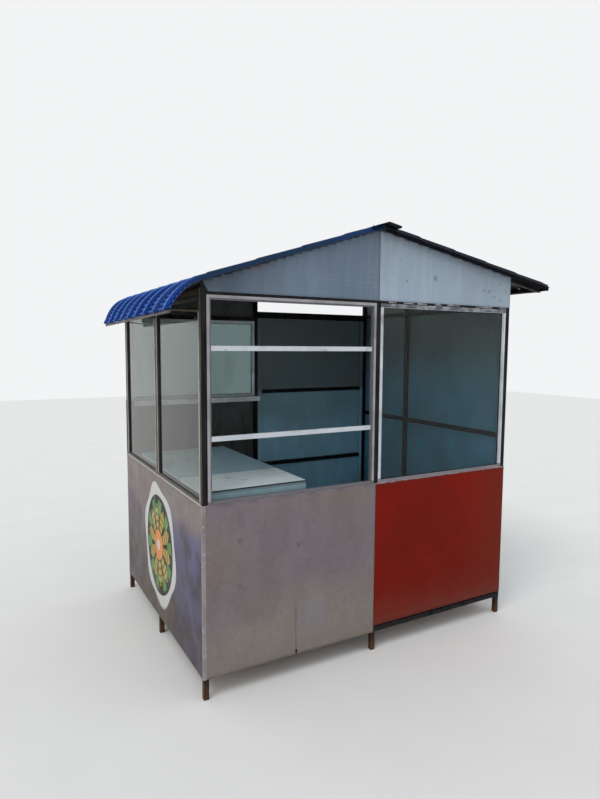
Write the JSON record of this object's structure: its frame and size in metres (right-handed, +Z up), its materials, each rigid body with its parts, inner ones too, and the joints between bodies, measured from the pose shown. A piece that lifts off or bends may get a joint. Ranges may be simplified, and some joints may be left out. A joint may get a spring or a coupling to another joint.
{
  "type": "street kiosk",
  "caption": "Sheet-metal street kiosk with an open serving bay, side windows, ribbed roof with a round awning and a hinged back door.",
  "frame": {"origin": "on the ground under the middle of the roof's outline", "axes": "+X along the front from the awning side to the long right eave, +Y from the front to the back, +Z up"},
  "size_m": [2.2654, 1.544, 2.1487],
  "materials": {
    "frame_black": "old black enamel",
    "sheet_grey": "dull galvanised sheet with streaks",
    "sheet_pale": "pale blue-grey sheet",
    "sheet_red": "matt red paint, faded low down",
    "sheet_inner": "dark blue-grey sheet",
    "aluminium": "mill finish",
    "glass": "clear, dusty",
    "roof_blue": "gloss coil coating",
    "cap_blue": "dark blue coil coating",
    "deck": "worn plywood",
    "worktop": "painted board",
    "hinge_steel": "bare steel"
  },
  "bodies": {
    "kiosk": {"front_posts": "frame_black", "back_posts": "frame_black", "side_posts": "frame_black", "base_rails": "frame_black", "sill_rails": "frame_black", "head_rails": "frame_black", "right_wall_rails": "frame_black", "floor_joists": "frame_black", "floor_deck": "deck", "rafters_front": "frame_black", "rafters_back": "frame_black", "ridge_beam": "frame_black", "purlins_left": "frame_black", "purlins_right": "frame_black", "roof_sheet_left": "roof_blue", "roof_sheet_right": "roof_blue", "ridge_cap": "cap_blue", "right_edge_bars": "frame_black", "awning_brackets": "frame_black", "front_left_lower_panel": "sheet_grey", "front_right_lower_panel": "sheet_red", "left_lower_panel": "sheet_grey", "back_left_lower_panel": "sheet_inner", "right_wall_sheets": "sheet_inner", "front_gable_left": "sheet_pale", "front_gable_right": "sheet_pale", "back_gable_left": "sheet_inner", "sill_strips": "aluminium", "corner_trim": "aluminium", "back_window_ledge": "aluminium", "window_frame_front_right": "aluminium", "glass_front_right": "glass", "window_frame_left_near": "aluminium", "glass_left_near": "glass", "window_frame_left_far": "aluminium", "glass_left_far": "glass", "window_frame_back_left": "aluminium", "glass_back_left": "glass", "serving_frame_front_left": "aluminium", "worktop": "worktop", "worktop_frame": "frame_black", "worktop_apron": "sheet_inner", "hinge_pins": "hinge_steel"},
    "door": {"door_frame": "frame_black", "door_sheet": "sheet_inner", "hinge_sleeves": "hinge_steel", "door_handle": "hinge_steel"}
  },
  "joints": [
    {"name": "door_hinge", "type": "hinge", "parent": "kiosk", "child": "door", "pos_m": [0.8289, 0.708, 0.95], "axis": [0, 0, -1], "range_deg": [0, 100]}
  ]
}
